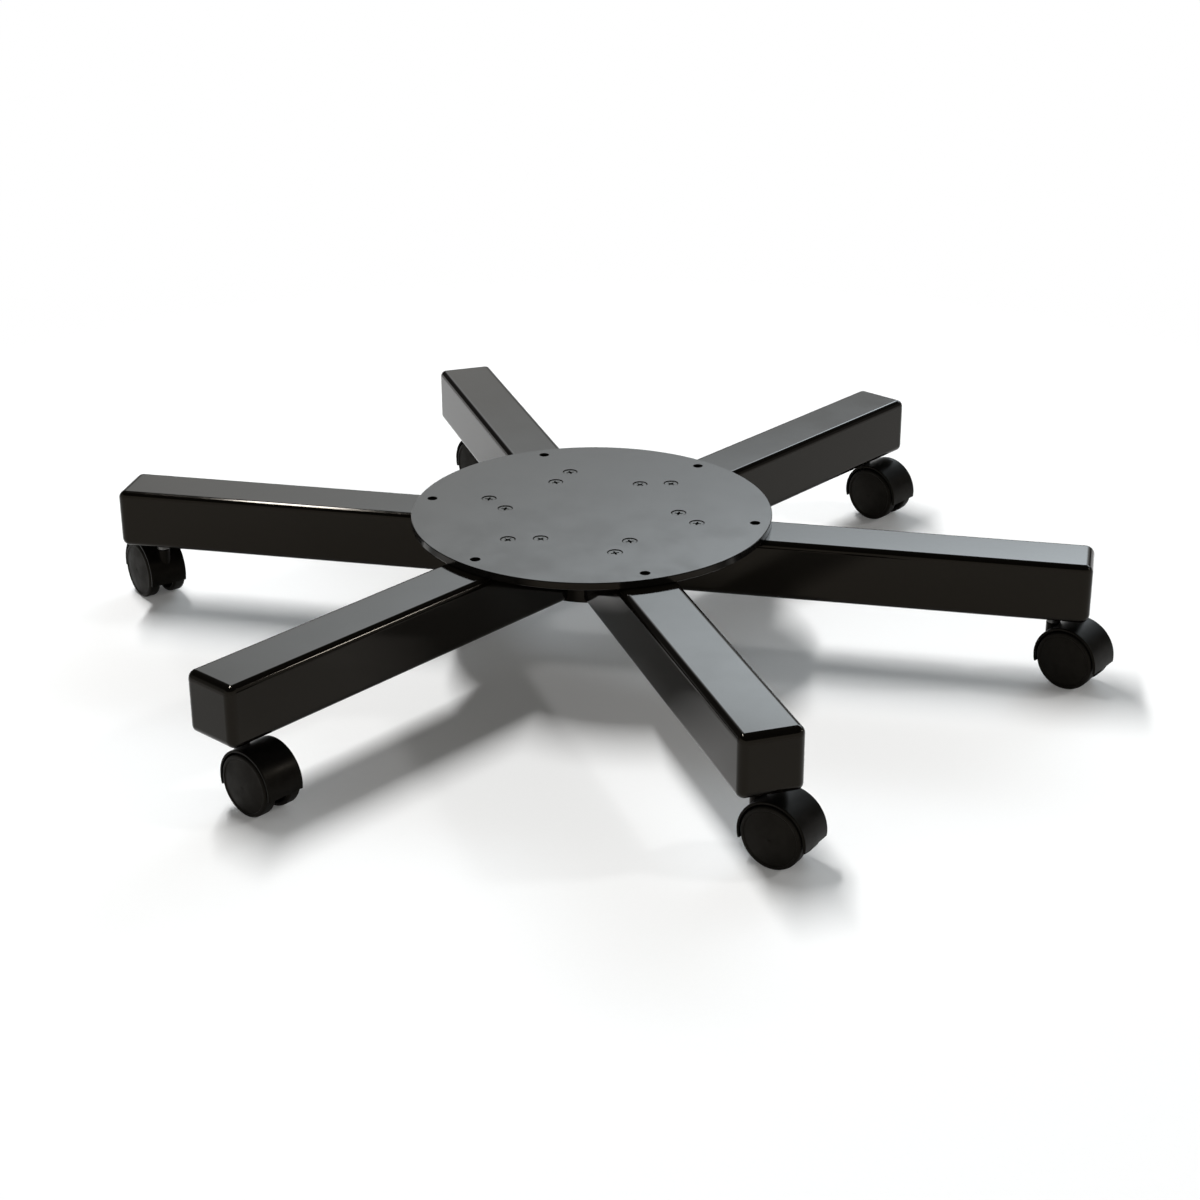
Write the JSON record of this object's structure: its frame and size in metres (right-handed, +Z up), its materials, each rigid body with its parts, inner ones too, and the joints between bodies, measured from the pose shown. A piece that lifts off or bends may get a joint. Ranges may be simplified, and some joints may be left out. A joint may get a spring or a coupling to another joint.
{
  "type": "boat seat base",
  "caption": "Low star-shaped rolling base of square-tube legs under a round bolt-on plate, on hooded twin-wheel swivel casters, to carry the pedestal of a boat seat.",
  "frame": {"origin": "centre of the plate's top face, where the seat's pedestal bolts on", "axes": "+Z up, out of the plate; +X along the first leg's centre line; the casters stand on the floor below"},
  "size_m": [0.8774, 0.7491, 0.1167],
  "materials": {
    "plate_black": "gloss powder coat",
    "leg_black": "gloss powder coat",
    "screw_black": "black oxide",
    "steel": "plain turned steel",
    "caster_nylon": "semi-matte moulded nylon",
    "wheel_nylon": "semi-matte moulded nylon"
  },
  "bodies": {
    "base": {"top_plate": "plate_black", "plate_screws": "screw_black", "hub": "leg_black", "grip_rings": "steel", "leg_1": "leg_black", "stem_socket_1": "steel", "caster_stem_1": "steel", "leg_2": "leg_black", "stem_socket_2": "steel", "caster_stem_2": "steel", "leg_3": "leg_black", "stem_socket_3": "steel", "caster_stem_3": "steel", "leg_4": "leg_black", "stem_socket_4": "steel", "caster_stem_4": "steel", "leg_5": "leg_black", "stem_socket_5": "steel", "caster_stem_5": "steel", "leg_6": "leg_black", "stem_socket_6": "steel", "caster_stem_6": "steel"},
    "caster_1": {"caster_hood_1": "caster_nylon", "axle_1": "steel"},
    "wheel_1_left": {"wheel_1_left": "wheel_nylon"},
    "wheel_1_right": {"wheel_1_right": "wheel_nylon"},
    "caster_2": {"caster_hood_2": "caster_nylon", "axle_2": "steel"},
    "wheel_2_left": {"wheel_2_left": "wheel_nylon"},
    "wheel_2_right": {"wheel_2_right": "wheel_nylon"},
    "caster_3": {"caster_hood_3": "caster_nylon", "axle_3": "steel"},
    "wheel_3_left": {"wheel_3_left": "wheel_nylon"},
    "wheel_3_right": {"wheel_3_right": "wheel_nylon"},
    "caster_4": {"caster_hood_4": "caster_nylon", "axle_4": "steel"},
    "wheel_4_left": {"wheel_4_left": "wheel_nylon"},
    "wheel_4_right": {"wheel_4_right": "wheel_nylon"},
    "caster_5": {"caster_hood_5": "caster_nylon", "axle_5": "steel"},
    "wheel_5_left": {"wheel_5_left": "wheel_nylon"},
    "wheel_5_right": {"wheel_5_right": "wheel_nylon"},
    "caster_6": {"caster_hood_6": "caster_nylon", "axle_6": "steel"},
    "wheel_6_left": {"wheel_6_left": "wheel_nylon"},
    "wheel_6_right": {"wheel_6_right": "wheel_nylon"}
  },
  "joints": [
    {"name": "swivel_1", "type": "hinge", "parent": "base", "child": "caster_1", "pos_m": [0.39, 0, -0.05715], "axis": [0, 0, 1], "continuous": true},
    {"name": "roll_1_left", "type": "hinge", "parent": "caster_1", "child": "wheel_1_left", "pos_m": [0.40835, -0.00915, -0.09165], "axis": [0.4462, 0.8949, 0], "continuous": true},
    {"name": "roll_1_right", "type": "hinge", "parent": "caster_1", "child": "wheel_1_right", "pos_m": [0.40835, -0.00915, -0.09165], "axis": [0.4462, 0.8949, 0], "continuous": true},
    {"name": "swivel_2", "type": "hinge", "parent": "base", "child": "caster_2", "pos_m": [0.195, 0.33775, -0.05715], "axis": [0, 0, 1], "continuous": true},
    {"name": "roll_2_left", "type": "hinge", "parent": "caster_2", "child": "wheel_2_left", "pos_m": [0.21275, 0.3275, -0.09165], "axis": [0.5, 0.866, 0], "continuous": true},
    {"name": "roll_2_right", "type": "hinge", "parent": "caster_2", "child": "wheel_2_right", "pos_m": [0.21275, 0.3275, -0.09165], "axis": [0.5, 0.866, 0], "continuous": true},
    {"name": "swivel_3", "type": "hinge", "parent": "base", "child": "caster_3", "pos_m": [-0.195, 0.33775, -0.05715], "axis": [0, 0, 1], "continuous": true},
    {"name": "roll_3_left", "type": "hinge", "parent": "caster_3", "child": "wheel_3_left", "pos_m": [-0.17885, 0.32513, -0.09165], "axis": [0.6157, 0.788, 0], "continuous": true},
    {"name": "roll_3_right", "type": "hinge", "parent": "caster_3", "child": "wheel_3_right", "pos_m": [-0.17885, 0.32513, -0.09165], "axis": [0.6157, 0.788, 0], "continuous": true},
    {"name": "swivel_4", "type": "hinge", "parent": "base", "child": "caster_4", "pos_m": [-0.39, 0, -0.05715], "axis": [0, 0, 1], "continuous": true},
    {"name": "roll_4_left", "type": "hinge", "parent": "caster_4", "child": "wheel_4_left", "pos_m": [-0.40487, 0.01411, -0.09165], "axis": [-0.6884, -0.7254, 0], "continuous": true},
    {"name": "roll_4_right", "type": "hinge", "parent": "caster_4", "child": "wheel_4_right", "pos_m": [-0.40487, 0.01411, -0.09165], "axis": [-0.6884, -0.7254, 0], "continuous": true},
    {"name": "swivel_5", "type": "hinge", "parent": "base", "child": "caster_5", "pos_m": [-0.195, -0.33775, -0.05715], "axis": [0, 0, 1], "continuous": true},
    {"name": "roll_5_left", "type": "hinge", "parent": "caster_5", "child": "wheel_5_left", "pos_m": [-0.17734, -0.34815, -0.09165], "axis": [0.5075, 0.8616, 0], "continuous": true},
    {"name": "roll_5_right", "type": "hinge", "parent": "caster_5", "child": "wheel_5_right", "pos_m": [-0.17734, -0.34815, -0.09165], "axis": [0.5075, 0.8616, 0], "continuous": true},
    {"name": "swivel_6", "type": "hinge", "parent": "base", "child": "caster_6", "pos_m": [0.195, -0.33775, -0.05715], "axis": [0, 0, 1], "continuous": true},
    {"name": "roll_6_left", "type": "hinge", "parent": "caster_6", "child": "wheel_6_left", "pos_m": [0.21407, -0.34526, -0.09165], "axis": [0.3665, 0.9304, 0], "continuous": true},
    {"name": "roll_6_right", "type": "hinge", "parent": "caster_6", "child": "wheel_6_right", "pos_m": [0.21407, -0.34526, -0.09165], "axis": [0.3665, 0.9304, 0], "continuous": true}
  ]
}
